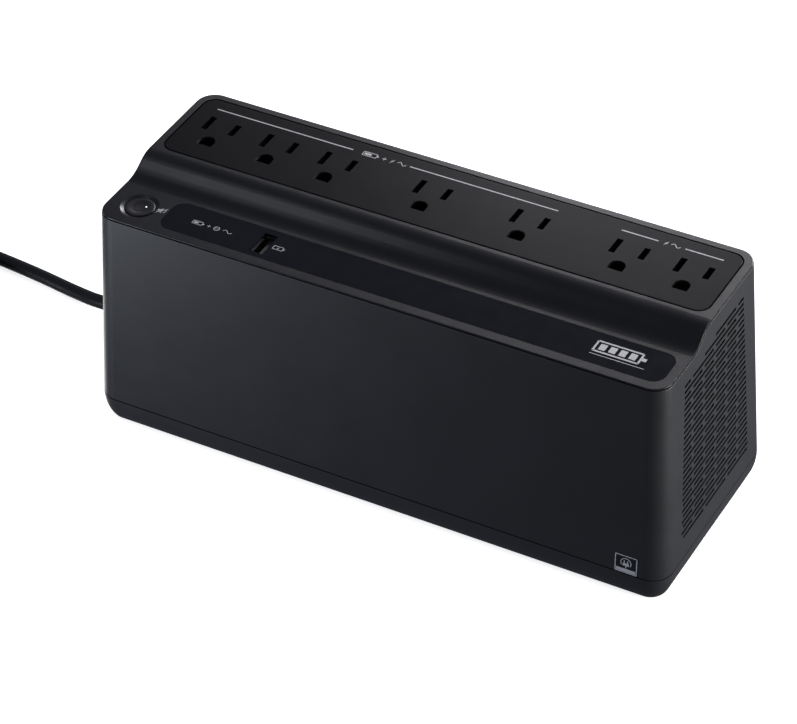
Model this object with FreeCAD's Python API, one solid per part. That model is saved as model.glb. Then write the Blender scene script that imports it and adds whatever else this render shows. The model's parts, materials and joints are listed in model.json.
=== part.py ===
import FreeCAD, Part
import math
import os

# A small desktop uninterruptible power supply with seven three-pin outlets.
# Millimetres. X runs along the length, Y from front to back, Z up.
# The origin is the middle of the footprint, on the surface that the feet stand on.

os.makedirs("parts", exist_ok=True)
V = FreeCAD.Vector

# ---------------------------------------------------------------- driving dimensions
# Housing
length = 270.0            # at the parting line above the base tray
depth = 100.8             # at the parting line above the base tray
foot_height = 1.0         # how far the feet lift the tray
tray_height = 11.9
shelf_height = 107.3      # above the underside of the tray
deck_height = 113.5       # above the underside of the tray
draft = 2.59              # degrees, each side wall
corner_r = 9.2
wall = 2.5
tray_inset = 3.3          # the tray's sides draw in by this at the bottom
tray_corner_share = 0.7    # how much of that draw-in comes off the corner radius
tray_floor = 4.0
tray_wall = 5.6           # thickness of the tray's side at the parting line
parting_gap = 0.6
rim_height = 0.6          # visible edge of the top cover
rim_gap = 0.4
cover_inset = 0.25        # the cover's edge stands in from the wall's
wall_edge_round = 0.3     # outer top edge of the wall shell
cover_skin = 2.5

# Step between the front shelf and the deck
step_front = -2.0         # where the deck starts to fall, on Y
step_slope = 32.0         # degrees
step_convex_r = 12.3
step_concave_r = 16.0

# Outlet panel
panel_length = 252.4
panel_front = 0.4
panel_back = 41.7
panel_corner_r = 5.5
panel_thickness = 2.4
panel_gap = 0.6
panel_edge_round = 0.3
outlet_x = [-110.5, -82.0, -53.6, -8.4, 36.6, 81.9, 110.5]
backup_outlets = 5        # the first ones are fed by the battery
blade_spacing = 12.7
blade_y = 24.8
neutral_slot = (2.8, 9.6)
line_slot = (2.8, 8.0)
ground_drop = 11.9        # ground hole in front of the blades
ground_r = 3.2
ground_flare = 0.3        # chamfer round the ground hole

# Glossy inlay strip on the shelf
strip_left = -103.3
strip_right = 126.2
strip_front = -41.2
strip_back = -22.2
strip_corner_r = 5.5
strip_thickness = 0.8

# USB charging socket
usb_x = -57.1
usb_y = -32.0
usb_shell = (5.8, 13.1)
usb_shell_wall = 0.3

# Power button
button_x = -116.3
button_y = -32.8
button_r = 6.5
dish_r = 8.4
dish_depth = 0.7
button_clearance = 0.3

# Ventilation slots
vent_slot = 19.5
vent_gap = 2.3
vent_height = 1.4
vent_pitch = 2.77
vent_rows = 30
vent_lowest = 23.0        # above the underside of the tray
vent_phase = 0.65         # Y of a gap between slots in the even rows
vent_front_low = -32.6
vent_back_low = 33.3
vent_front_top = -27.7
vent_back_top = 29.0

# Battery bay, battery and its door
battery_size = (151.0, 51.0, 94.0)
battery_left = -36.0
battery_front = -43.0
bay_clearance = 0.5
door_lip = 3.0            # left edge of the door beyond the bay
door_thickness = 2.2
door_travel = 9.5
door_tab = 12.0

# Power cord
cord_d = 6.4
cord_exit_y = 10.0
relief_droop = 12.0       # degrees below level
relief_yaw = 5.0          # degrees towards the back
relief_length = 24.0
coil_x = -278.0
coil_y = -16.5
coil_mid_r = 38.2
coil_turns = 5.25
coil_turns_wide = 3
coil_turns_high = 2
plug_blade = (1.5, 6.35, 17.5)
ground_pin_r = 2.38

# ---------------------------------------------------------------- worked out from those
z_tray = foot_height
z_part = z_tray + tray_height
z_shelf = z_tray + shelf_height
z_deck = z_tray + deck_height
slope = math.tan(math.radians(draft))
half_l = length / 2
half_d = depth / 2
z_floor = z_tray + tray_floor


def export(node, shape):
    """Write one piece, or one group of identical pieces, as a STEP file."""
    shape.exportStep("parts/%s.step" % node)


def box(x0, x1, y0, y1, z0, z1):
    return Part.makeBox(x1 - x0, y1 - y0, z1 - z0, V(x0, y0, z0))


def box_at(x, y, z0, dx, dy, dz):
    """A box centred on x, y, standing on z0."""
    return Part.makeBox(dx, dy, dz, V(x - dx / 2, y - dy / 2, z0))


def rod(x, y, z0, z1, r):
    return Part.makeCylinder(r, z1 - z0, V(x, y, z0))


def rod_x(x0, x1, y, z, r):
    return Part.makeCylinder(r, x1 - x0, V(x0, y, z), V(1, 0, 0))


def rod_y(x, y0, y1, z, r):
    return Part.makeCylinder(r, y1 - y0, V(x, y0, z), V(0, 1, 0))


def join(shapes):
    result = shapes[0]
    if len(shapes) > 1:
        result = result.multiFuse(shapes[1:])
    return result.removeSplitter()


def group(shapes):
    """Separate solids kept in one node."""
    return Part.makeCompound(shapes)


def rounded_wire(x0, x1, y0, y1, r, z):
    """A rectangle with round corners, as a closed wire at height z."""
    corner = r * (1 - math.sqrt(0.5))
    edges = [
        Part.LineSegment(V(x0 + r, y0, z), V(x1 - r, y0, z)),
        Part.Arc(V(x1 - r, y0, z), V(x1 - corner, y0 + corner, z), V(x1, y0 + r, z)),
        Part.LineSegment(V(x1, y0 + r, z), V(x1, y1 - r, z)),
        Part.Arc(V(x1, y1 - r, z), V(x1 - corner, y1 - corner, z), V(x1 - r, y1, z)),
        Part.LineSegment(V(x1 - r, y1, z), V(x0 + r, y1, z)),
        Part.Arc(V(x0 + r, y1, z), V(x0 + corner, y1 - corner, z), V(x0, y1 - r, z)),
        Part.LineSegment(V(x0, y1 - r, z), V(x0, y0 + r, z)),
        Part.Arc(V(x0, y0 + r, z), V(x0 + corner, y0 + corner, z), V(x0 + r, y0, z)),
    ]
    return Part.Wire([edge.toShape() for edge in edges])


def rounded_slab(x0, x1, y0, y1, r, z0, z1):
    face = Part.Face(rounded_wire(x0, x1, y0, y1, r, z0))
    return face.extrude(V(0, 0, z1 - z0))


def wall_in(z):
    """How far the drafted wall has drawn in at height z."""
    return slope * (z - z_part)


def outline(z, inset):
    """Plan outline of the drafted housing at height z, moved in by inset."""
    d = inset + wall_in(z)
    r = max(corner_r - inset - 0.1 * wall_in(z), 1.0)
    return rounded_wire(-half_l + d, half_l - d, -half_d + d, half_d - d, r, z)


def drafted_block(inset, z0, z1):
    return Part.makeLoft([outline(z0, inset), outline(z1, inset)], True, True)


def under_profile(drop, x_half=half_l + 5):
    """Everything below the housing's top line, lowered by drop."""
    a = math.radians(step_slope)
    fall = z_deck - z_shelf
    convex_y = step_convex_r * math.sin(a)
    convex_z = step_convex_r * (1 - math.cos(a))
    concave_y = step_concave_r * math.sin(a)
    concave_z = step_concave_r * (1 - math.cos(a))
    straight_y = (fall - convex_z - concave_z) / math.tan(a)
    top = z_deck - drop
    low = z_shelf - drop
    y1 = step_front
    y2 = y1 - convex_y
    y3 = y2 - straight_y
    y4 = y3 - concave_y

    def on_convex(t):
        return V(-x_half, y1 - step_convex_r * math.sin(t), top - step_convex_r * (1 - math.cos(t)))

    def on_concave(t):
        return V(-x_half, y4 + step_concave_r * math.sin(t), low + step_concave_r * (1 - math.cos(t)))

    back = half_d + 5
    floor = z_tray - 5
    edges = [
        Part.LineSegment(V(-x_half, back, floor), V(-x_half, back, top)),
        Part.LineSegment(V(-x_half, back, top), V(-x_half, y1, top)),
        Part.Arc(on_convex(0), on_convex(a / 2), on_convex(a)),
        Part.LineSegment(on_convex(a), on_concave(a)),
        Part.Arc(on_concave(a), on_concave(a / 2), on_concave(0)),
        Part.LineSegment(V(-x_half, y4, low), V(-x_half, -back, low)),
        Part.LineSegment(V(-x_half, -back, low), V(-x_half, -back, floor)),
        Part.LineSegment(V(-x_half, -back, floor), V(-x_half, back, floor)),
    ]
    wire = Part.Wire([edge.toShape() for edge in edges])
    return Part.Face(wire).extrude(V(2 * x_half, 0, 0))


def lead(points, r):
    """A wire or cord: straight runs joined by tangent arcs, as one tube."""
    pts = [V(*p) for p in points]
    edges = []
    radii = []
    start = pts[0]
    for before, corner, after in zip(pts, pts[1:], pts[2:]):
        run_in = corner - before
        run_out = after - corner
        turn = run_in.getAngle(run_out)
        shorter = min(run_in.Length, run_out.Length)
        tangent = 0.45 * shorter
        radii.append(tangent / math.tan(turn / 2))
        u = V(run_in).normalize()
        w = V(run_out).normalize()
        p0 = corner - u * tangent
        p1 = corner + w * tangent
        to_centre = V(w - u).normalize()
        centre = corner + to_centre * math.hypot(tangent, radii[-1])
        edges.append(Part.LineSegment(start, p0).toShape())
        edges.append(Part.Arc(p0, centre - to_centre * radii[-1], p1).toShape())
        start = p1
    edges.append(Part.LineSegment(start, pts[-1]).toShape())
    path = Part.Wire(edges)
    first = V(pts[1] - pts[0]).normalize()
    section = Part.Wire([Part.makeCircle(r, pts[0], first)])
    tube = path.makePipeShell([section], True, False, 2)
    return tube, path.Length, radii


def wire_lead(points, r):
    return lead(points, r)[0]


def flared_mouth(outline_wire, z_top, size):
    """A 45 degree flare at the mouth of an opening, whose outline is drawn at height 0."""
    upper = outline_wire.makeOffset2D(size)
    upper.translate(V(0, 0, z_top))
    lower = outline_wire.copy()
    lower.translate(V(0, 0, z_top - size))
    return Part.makeLoft([lower, upper], True, True)


# ---------------------------------------------------------------- screws that hold the case
post_r = 3.4
pilot_r = 1.5
screw_r = 1.45
post_places = [(-121.5, 37.0), (121.5, 37.0), (-124.0, -4.0), (124.0, -4.0)]
screw_seat = z_tray + 4.0
post_foot = z_tray + 13.2


def pan_screw(x, y, seat, reach, shank_r=screw_r, head_r=2.8, head_h=2.0):
    """A screw driven upwards, its head below the seat, with a cross recess."""
    head = rod(x, y, seat - head_h, seat, head_r)
    cross = join([
        box_at(x, y, seat - head_h, 2.6, 0.7, 1.1),
        box_at(x, y, seat - head_h, 0.7, 2.6, 1.1),
    ])
    return join([head.cut(cross), rod(x, y, seat - 0.1, seat + reach, shank_r)])


# ---------------------------------------------------------------- wall shell
vent_tool_depth = wall + 6.0


def vent_row(z, odd, y_front, y_back, side):
    """The slots of one louvre row, clipped to the vent field."""
    pitch_y = vent_slot + vent_gap
    shift = vent_phase if odd else vent_phase + pitch_y / 2
    x_out = side * (half_l + 2)
    x_in = side * (half_l - vent_tool_depth)
    slots = []
    for k in range(-4, 5):
        a = shift + k * pitch_y + vent_gap / 2
        b = a + vent_slot
        a = max(a, y_front)
        b = min(b, y_back)
        if b - a > 2.0:
            slots.append(box(min(x_in, x_out), max(x_in, x_out), a, b,
                             z - vent_height / 2, z + vent_height / 2))
    return slots


def vent_field(side, first_row, last_row):
    slots = []
    for row in range(first_row, last_row):
        z = z_tray + vent_lowest + row * vent_pitch
        t = row / (vent_rows - 3)
        y_front = vent_front_low + (vent_front_top - vent_front_low) * t
        y_back = vent_back_low + (vent_back_top - vent_back_low) * t
        if row == vent_rows - 2:
            y_front = -8.8
        if row == vent_rows - 1:
            y_front = 1.8
        slots += vent_row(z, row % 2 == 1, y_front, y_back, side)
    return slots


z_wall_bottom = z_part + parting_gap
wall_shell = drafted_block(0, z_wall_bottom, z_deck + 2)
wall_shell = wall_shell.cut(drafted_block(wall, z_wall_bottom - 1, z_deck + 3))
wall_shell = wall_shell.common(under_profile(rim_height + rim_gap))
wall_core = drafted_block(0.02, z_wall_bottom - 1, z_deck + 2)
wall_below_edge = under_profile(rim_height + rim_gap + 0.02)


def is_top_outer_edge(edge, core, below):
    """True for an edge on the drafted outer face that is also on the top surface."""
    middle = edge.valueAt((edge.FirstParameter + edge.LastParameter) / 2)
    return not (core.isInside(middle, 0.001, True) or below.isInside(middle, 0.001, True))


wall_edges = [e for e in wall_shell.Edges if is_top_outer_edge(e, wall_core, wall_below_edge)]
wall_shell = wall_shell.makeFillet(wall_edge_round, wall_edges)

breaker_y = -20.0
breaker_z = 77.0
breaker_hole_r = 4.9
breaker_well_r = 8.2
breaker_well_depth = 2.6


def end_face_x(z):
    """X of the left end's outer face at height z."""
    return -half_l + wall_in(z)


breaker_face = end_face_x(breaker_z)
breaker_seat = breaker_face + breaker_well_depth
breaker_inner = breaker_seat + 2.0
breaker_pad = rod_x(breaker_face + 1.0, breaker_inner, breaker_y, breaker_z, breaker_well_r + 2)
breaker_well = rod_x(-half_l - 2, breaker_seat, breaker_y, breaker_z, breaker_well_r)
breaker_hole = rod_x(-half_l - 2, breaker_inner + 1, breaker_y, breaker_z, breaker_hole_r)
gland_z = z_part + parting_gap / 2
gland_neck_r = 4.9
gland_hole = rod_x(-half_l - 3, -half_l + 8, cord_exit_y, gland_z, gland_neck_r + 0.1)

board_y = 39.5
board_t = 1.6
board_left = -35.0
board_right = 114.0
board_low = 8.0
board_high = 87.0
board_screw_places = [(board_left + 5, 40.0), (board_right - 5, 66.0), (board_right - 5, 24.0),
                      (30.0, board_high - 3.6)]
board_bosses = []
for x, z in board_screw_places:
    inner_face = half_d - wall - wall_in(z)
    board_bosses.append(rod_y(x, board_y + board_t, inner_face + 1.0, z, 3.5))

wall_shell = join([wall_shell, breaker_pad] + board_bosses)
cutters = [breaker_well, breaker_hole, gland_hole]
cutters += [rod_y(x, board_y, half_d - wall - 1.2, z, 1.3) for x, z in board_screw_places]
cutters += vent_field(1, 0, vent_rows)
cutters += vent_field(-1, 4, 14)
wall_shell = wall_shell.cut(cutters)
export("wall_shell", wall_shell)

# ---------------------------------------------------------------- top cover
cover_edge_round = 0.3
block = drafted_block(cover_inset, z_shelf - 8, z_deck + 2).common(under_profile(0))
shell_top = block.cut(under_profile(rim_height))
skirt_clear = 0.25
inner_block = drafted_block(wall + skirt_clear, z_shelf - 8, z_deck + 2)
skin = inner_block.common(under_profile(rim_height - 0.01)).cut(under_profile(cover_skin))
skirt_ring = inner_block.cut(drafted_block(wall + skirt_clear + 1.6, z_shelf - 9, z_deck + 3))
skirt = skirt_ring.common(under_profile(rim_height - 0.01)).cut(under_profile(6.5))

panel_x = panel_length / 2
lip = 3.5
aperture = rounded_slab(-panel_x - panel_gap, panel_x + panel_gap, panel_front - panel_gap,
                        panel_back + panel_gap, panel_corner_r + panel_gap,
                        z_deck - panel_thickness, z_deck + 3)
lip_outer = rounded_slab(-panel_x - 1.2, panel_x + 1.2, panel_front - 2.6, panel_back + 1.0,
                         panel_corner_r, z_deck - panel_thickness - 2.2, z_deck - panel_thickness)
lip_inner = rounded_slab(-panel_x + lip, panel_x - lip, panel_front + lip, panel_back - lip,
                         panel_corner_r - 2, z_deck - 12, z_deck + 3)
posts = []
for x, y in post_places:
    posts.append(rod(x, y, post_foot, z_deck - panel_thickness - 0.5, post_r))
rear_pads = [rod(x, y, z_deck - 6, z_deck - panel_thickness, 4.6) for x, y in post_places[:2]]

control_t = 1.6
control_z = 95.0
control_top = control_z + control_t
control_posts = [(-101.0, -26.0), (-76.0, -38.0)]
hangers = [rod(x, y, control_top, z_shelf - cover_skin + 0.5, 3.0) for x, y in control_posts]

dish = Part.makeCone(button_r + button_clearance, dish_r, dish_depth + 0.02,
                     V(button_x, button_y, z_shelf - dish_depth))
button_hole = rod(button_x, button_y, z_shelf - 4, z_shelf + 1, button_r + button_clearance)
strip_pocket = rounded_slab(strip_left - 0.1, strip_right + 0.1, strip_front - 0.1, strip_back + 0.1,
                            strip_corner_r + 0.1, z_shelf - strip_thickness, z_shelf + 1)
usb_opening = box_at(usb_x, usb_y, z_shelf - 8, usb_shell[0] + 0.4, usb_shell[1] + 0.4, 10)

top_cover = join([shell_top, skin, skirt])
cover_core = drafted_block(cover_inset + 0.02, z_shelf - 8, z_deck + 2)
cover_below_edge = under_profile(0.02)
cover_edges = [e for e in top_cover.Edges if is_top_outer_edge(e, cover_core, cover_below_edge)]
top_cover = top_cover.makeFillet(cover_edge_round, cover_edges)

top_cover = top_cover.cut([aperture])
top_cover = join([top_cover, lip_outer.common(inner_block)] + rear_pads + posts + hangers)
pilots = [rod(x, y, post_foot - 1, screw_seat + 22, pilot_r) for x, y in post_places]
pilots += [rod(x, y, control_top - 1, control_top + 7, 0.95) for x, y in control_posts]
lip_cut = lip_inner.cut([rod(x, y, z_deck - 20, z_deck + 5, 4.6) for x, y in post_places[:2]])
top_cover = top_cover.cut([lip_cut, dish, button_hole, strip_pocket, usb_opening] + pilots)
export("top_cover", top_cover)

# ---------------------------------------------------------------- outlet panel
panel_z0 = z_deck - panel_thickness
outlet_panel = rounded_slab(-panel_x, panel_x, panel_front, panel_back, panel_corner_r,
                            panel_z0 + 0.02, z_deck)
panel_edges = [e for e in outlet_panel.Edges if e.BoundBox.ZMin > z_deck - 0.01]
outlet_panel = outlet_panel.makeFillet(panel_edge_round, panel_edges)
ground_y = blade_y - ground_drop
ground_front = ground_y - 2.8
ground_mid = ground_y - 0.1


def ground_wire(x, z):
    """The ground hole: round towards the blades, flat towards the front."""
    r = ground_r
    edges = [
        Part.LineSegment(V(x - r, ground_front, z), V(x + r, ground_front, z)),
        Part.LineSegment(V(x + r, ground_front, z), V(x + r, ground_mid, z)),
        Part.Arc(V(x + r, ground_mid, z), V(x, ground_mid + r, z), V(x - r, ground_mid, z)),
        Part.LineSegment(V(x - r, ground_mid, z), V(x - r, ground_front, z)),
    ]
    return Part.Wire([edge.toShape() for edge in edges])


holes = []
for x in outlet_x:
    for offset, slot in ((-blade_spacing / 2, neutral_slot), (blade_spacing / 2, line_slot)):
        holes.append(box_at(x + offset, blade_y, panel_z0 - 1, slot[0], slot[1], panel_thickness + 2))
    hole = Part.Face(ground_wire(x, panel_z0 - 1)).extrude(V(0, 0, panel_thickness + 2))
    holes += [hole, flared_mouth(ground_wire(x, 0), z_deck + 0.01, ground_flare)]
outlet_panel = outlet_panel.cut(holes)
export("outlet_panel", outlet_panel)

# ---------------------------------------------------------------- outlet contacts
carrier_top = panel_z0 - 0.05
carrier_bottom = 89.0
carrier_front = 8.4
carrier_back = 31.6
carrier_end = 120.5
carrier = box(-carrier_end, carrier_end, carrier_front, carrier_back, carrier_bottom, carrier_top)
cavities = []
for x in outlet_x:
    for offset in (-blade_spacing / 2, blade_spacing / 2):
        cavities.append(box_at(x + offset, blade_y, carrier_bottom - 1, 5.6, 10.4, 30))
    cavities.append(box(x - 4.0, x + 4.0, 9.5, 16.9, carrier_bottom - 1, carrier_top + 1))
carrier = carrier.cut(cavities)
export("outlet_carrier", carrier)

bus_t = 0.6
bus_z = carrier_bottom - bus_t - 0.02
leaf_top = 108.0


def spring_contact(cx, y0, y1, half_gap):
    """Two upright leaves on a base, which grip one blade of a plug."""
    base = box(cx - half_gap - bus_t, cx + half_gap + bus_t, y0, y1, bus_z, bus_z + bus_t)
    left = box(cx - half_gap - bus_t, cx - half_gap, y0, y1, bus_z, leaf_top)
    right = box(cx + half_gap, cx + half_gap + bus_t, y0, y1, bus_z, leaf_top)
    return [base, left, right]


def bus(xs, strip_y0, strip_y1, leaf_y0, leaf_y1, half_gap, tail=6.0):
    """A flat strip under the carrier that links the contacts of several outlets."""
    strip = box(min(xs) - tail, max(xs) + tail, strip_y0, strip_y1, bus_z, bus_z + bus_t)
    pieces = [strip]
    for cx in xs:
        pieces += spring_contact(cx, leaf_y0, leaf_y1, half_gap)
    return join(pieces)


line_x = [x + blade_spacing / 2 for x in outlet_x]
neutral_x = [x - blade_spacing / 2 for x in outlet_x]
export("line_bus_backup", bus(line_x[:backup_outlets], 27.6, 31.0, 22.7, 28.0, 0.85))
export("line_bus_surge", bus(line_x[backup_outlets:], 27.6, 31.0, 22.7, 28.0, 0.85))
export("neutral_bus", bus(neutral_x, 18.6, 22.0, 21.0, 26.8, 0.85))
export("ground_bus", bus(outlet_x, 14.6, 17.0, 10.2, 15.4, 2.5))

# ---------------------------------------------------------------- inlay strip, power button, USB
strip = rounded_slab(strip_left, strip_right, strip_front, strip_back, strip_corner_r,
                     z_shelf - strip_thickness + 0.02, z_shelf)
strip = strip.cut(box_at(usb_x, usb_y, z_shelf - 3, usb_shell[0] + 0.2, usb_shell[1] + 0.2, 6))
export("inlay_strip", strip)

button_top = z_shelf - 0.35
flange_r = button_r + 1.3
flange_top = z_shelf - cover_skin - 0.25
flange_t = 1.2
stem_r = 1.6
switch_h = 3.6
stem_bottom = control_top + 5.1
cap = rod(button_x, button_y, flange_top - flange_t, button_top, button_r)
top_edges = [e for e in cap.Edges if abs(e.BoundBox.ZMin - button_top) < 0.01 and e.Closed]
cap = cap.makeFillet(0.5, top_edges[:1])
finger_r = 40.0
finger_dip = 0.3
finger = Part.makeSphere(finger_r, V(button_x, button_y, button_top - finger_dip + finger_r))
window_ring_r = 2.6
window_r = 0.32
window_places = []
for k in range(16):
    angle = math.radians(90 + 40 + k * 280 / 15)
    window_places.append((button_x + window_ring_r * math.cos(angle),
                          button_y + window_ring_r * math.sin(angle)))
for k in range(4):
    window_places.append((button_x, button_y + 0.9 + k * 0.8))
windows = [rod(x, y, flange_top - 3, z_shelf + 1, window_r) for x, y in window_places]
guide_core_z = button_top - 1.6
guide_pocket = rod(button_x, button_y, flange_top - flange_t - 1, guide_core_z, 4.6)
cap = join([cap, rod(button_x, button_y, flange_top - flange_t, flange_top, flange_r)])
cap = cap.cut([finger, guide_pocket] + windows)
export("power_button", cap)

guide_plate = rod(button_x, button_y, flange_top - flange_t, guide_core_z, 4.5)
guide_stem = rod(button_x, button_y, stem_bottom, flange_top - flange_t + 0.2, stem_r)
guide_pins = [rod(x, y, guide_core_z - 0.2, button_top - finger_dip - 0.05, window_r - 0.03)
              for x, y in window_places]
export("button_light_guide", join([guide_plate, guide_stem] + guide_pins))

stem_hole_r = 1.78
actuator_r = 1.7
switch = box_at(button_x, button_y, control_top, 6.2, 6.2, switch_h)
switch = switch.cut(rod(button_x, button_y, control_top + 1.0, control_top + 9, stem_hole_r))
export("tactile_switch", switch)
export("switch_actuator", rod(button_x, button_y, control_top + 2.1, stem_bottom, actuator_r))
export("power_led", join([box_at(button_x + 7.0, button_y + 5.0, control_top, 3.2, 2.8, 1.0),
                          rod(button_x + 7.0, button_y + 5.0, control_top + 0.9, control_top + 2.0, 1.2)]))

usb_top = z_shelf - 1.6
shell_outer = box_at(usb_x, usb_y, control_top, usb_shell[0], usb_shell[1], usb_top - control_top)
shell_inner = box_at(usb_x, usb_y, control_top - 1, usb_shell[0] - 2 * usb_shell_wall,
                     usb_shell[1] - 2 * usb_shell_wall, 20)
export("usb_shell", shell_outer.cut(shell_inner))
usb_base = box_at(usb_x, usb_y, control_top, 5.1, 12.4, 2.5)
tongue_x = usb_x + 1.0
usb_tongue = box_at(tongue_x, usb_y, control_top + 2.4, 1.9, 11.1, usb_top - control_top - 3.0)
export("usb_insert", join([usb_base, usb_tongue]))
contacts = []
for k in range(4):
    y = usb_y - 3.75 + k * 2.5
    contacts.append(box_at(tongue_x - 1.05, y, control_top + 2.6, 0.16, 1.1, 6.6))
export("usb_contacts", group(contacts))

control_board = box(-125.0, -46.0, -42.0, -20.5, control_z, control_top)
control_holes = [rod(x, y, control_z - 1, control_top + 1, 1.2) for x, y in control_posts]
control_board = control_board.cut(control_holes)
export("control_board", control_board)
control_chip = box_at(-88.0, -30.0, control_top, 7.0, 7.0, 1.2)
control_screws = [pan_screw(x, y, control_z, 7.0, 0.92, 2.0, 1.4) for x, y in control_posts]

# ---------------------------------------------------------------- base tray
tray_top = z_part


def tray_outline(z, inset):
    return rounded_wire(-half_l + inset, half_l - inset, -half_d + inset, half_d - inset,
                        corner_r - tray_corner_share * inset, z)


tray_levels = [(0.0, 1.0), (0.33, 0.40), (0.67, 0.10), (1.0, 0.0)]
tray_sections = [tray_outline(z_tray + t * tray_height, k * tray_inset) for t, k in tray_levels]
tray = Part.makeLoft(tray_sections, True, False)
bottom_edges = [e for e in tray.Edges if abs(e.BoundBox.ZMax - z_tray) < 0.01]
tray = tray.makeFillet(0.6, bottom_edges)
tray_hollow = rounded_slab(-half_l + tray_wall, half_l - tray_wall, -half_d + tray_wall, half_d - tray_wall,
                           corner_r - 5, z_floor, tray_top + 1)
tray = tray.cut(tray_hollow)
locating_ring = drafted_block(wall + 0.25, tray_top - 1, tray_top + 4)
locating_ring = locating_ring.cut(drafted_block(wall + 1.75, tray_top - 2, tray_top + 5))
locating_ring = locating_ring.cut(box(-half_l, -half_l + 12, cord_exit_y - 9, cord_exit_y + 9,
                                      tray_top - 2, tray_top + 6))

battery_right = battery_left + battery_size[0]
battery_back = battery_front + battery_size[1]
opening = (battery_left - bay_clearance, battery_right + bay_clearance,
           battery_front - bay_clearance, battery_back + bay_clearance)
door = (opening[0] - door_lip, opening[1] + 1.5, opening[2] - 1.4, opening[3] + 1.5)
door_slack = 0.3
door_z1 = z_tray + door_thickness
recess_top = door_z1 + 0.3
recess = box(door[0] - door_travel - 1.0, door[1] + door_slack, door[2] - door_slack,
             door[3] + door_slack, z_tray - 1, recess_top)
bay_hole = box(*opening, z_tray - 1, z_floor + 1)
tab_reach = 1.6
tab_t = 1.1
tab_centres = [-14.0, 40.0, 94.0]
tab_z0 = door_z1 - tab_t
tab_gap_z0 = tab_z0 - 0.15
tab_y1 = door[3] + tab_reach
tab_cuts = []
for cx in tab_centres:
    rest_x1 = cx + door_tab / 2 + 0.5
    slid_x0 = cx - door_tab / 2 - door_travel - 0.6
    slid_x1 = cx + door_tab / 2 - door_travel + 0.6
    tab_cuts.append(box(slid_x0, rest_x1, door[3], tab_y1 + door_slack, tab_gap_z0, recess_top))
    tab_cuts.append(box(slid_x0, slid_x1, door[3], tab_y1 + door_slack, z_tray - 1, recess_top))
tongue_y0 = -26.0
tongue_y1 = -12.0
tongue_reach = 2.6
tab_cuts.append(box(door[1], door[1] + tongue_reach + door_slack, tongue_y0 - door_slack,
                    tongue_y1 + door_slack, tab_gap_z0, recess_top))

foot_r = 5.0
foot_recess = 1.2
foot_places = [(-122.0, -33.0), (124.0, -33.0), (-106.0, 36.0), (106.0, 36.0)]
keyhole_spacing = 210.0
keyhole_y = 17.0
keyhole_r = 4.5
keyhole_slot_r = 2.2
keyhole_run = 9.0
tray_bosses = [rod(x, y, z_floor - 0.5, post_foot - 0.2, 4.2) for x, y in post_places]
core_size = (35.0, 66.0, 57.0)
core_x = -72.0
core_z0 = z_floor + 1.6
core_screws = [(core_x + sx * 12.0, sy * 38.0) for sx in (-1, 1) for sy in (-1, 1)]
core_bosses = [rod(x, y, z_floor - 0.5, z_floor + 1.5, 3.6) for x, y in core_screws]
bay_rib_t = 1.6
rib_top = z_floor + 12.0
rib_gap = 0.2
rib_reach = rib_gap + bay_rib_t
rib_foot = z_floor - 0.5
rib_front = opening[2] + 2.0
bay_ribs = [
    box(opening[0] - rib_reach, opening[0] - rib_gap, rib_front, opening[3], rib_foot, rib_top),
    box(opening[1] + rib_gap, opening[1] + rib_reach, rib_front, opening[3], rib_foot, rib_top),
    box(opening[0], opening[1], opening[3] + rib_gap, opening[3] + rib_reach, rib_foot, rib_top),
]
tray = join([tray, locating_ring] + tray_bosses + core_bosses + bay_ribs)
tray_cutters = [recess, bay_hole, gland_hole] + tab_cuts
for x, y in post_places:
    tray_cutters.append(rod(x, y, z_tray - 1, screw_seat, 3.3))
    tray_cutters.append(rod(x, y, z_tray - 1, z_tray + 20, 1.75))
for x, y in foot_places:
    tray_cutters.append(rod(x, y, z_tray - 1, z_tray + foot_recess, foot_r + 0.1))
for x, y in core_screws:
    tray_cutters.append(rod(x, y, z_floor - 2.8, z_floor + 3, 1.35))
slot_mid_y = keyhole_y + keyhole_run / 2
slot_end_y = keyhole_y + keyhole_run
for x in (-keyhole_spacing / 2, keyhole_spacing / 2):
    tray_cutters.append(rod(x, keyhole_y, z_tray - 1, z_floor + 1, keyhole_r))
    tray_cutters.append(box_at(x, slot_mid_y, z_tray - 1, 2 * keyhole_slot_r, keyhole_run, 8))
    tray_cutters.append(rod(x, slot_end_y, z_tray - 1, z_floor + 1, keyhole_slot_r))
tray = tray.cut(tray_cutters)
export("base_tray", tray)

export("rubber_feet", group([
    join([rod(x, y, 0.35, z_tray + foot_recess, foot_r),
          Part.makeCone(foot_r - 0.35, foot_r, 0.35, V(x, y, 0))]) for x, y in foot_places]))
export("case_screws", group([pan_screw(x, y, screw_seat, 20.0) for x, y in post_places]))

# ---------------------------------------------------------------- battery door
door_plate = box(*door, z_tray, door_z1)
pad_top = z_floor - 0.1
pad_slack = 0.4
door_pad = box(opening[0] + door_travel + pad_slack, opening[1] - pad_slack, opening[2] + pad_slack,
               opening[3] - pad_slack, door_z1 - 0.2, pad_top)
tabs = [box(cx - door_tab / 2, cx + door_tab / 2, door[3] - 1, tab_y1, tab_z0, door_z1)
        for cx in tab_centres]
tabs.append(box(door[1] - 1, door[1] + tongue_reach, tongue_y0, tongue_y1, tab_z0, door_z1))
grip_grooves = [box(door[0] + 6 + 3 * k, door[0] + 7.4 + 3 * k, -30, -5, z_tray - 1, z_tray + 0.6)
                for k in range(7)]
battery_door = join([door_plate, door_pad] + tabs).cut(grip_grooves)
export("battery_door", battery_door)

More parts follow.
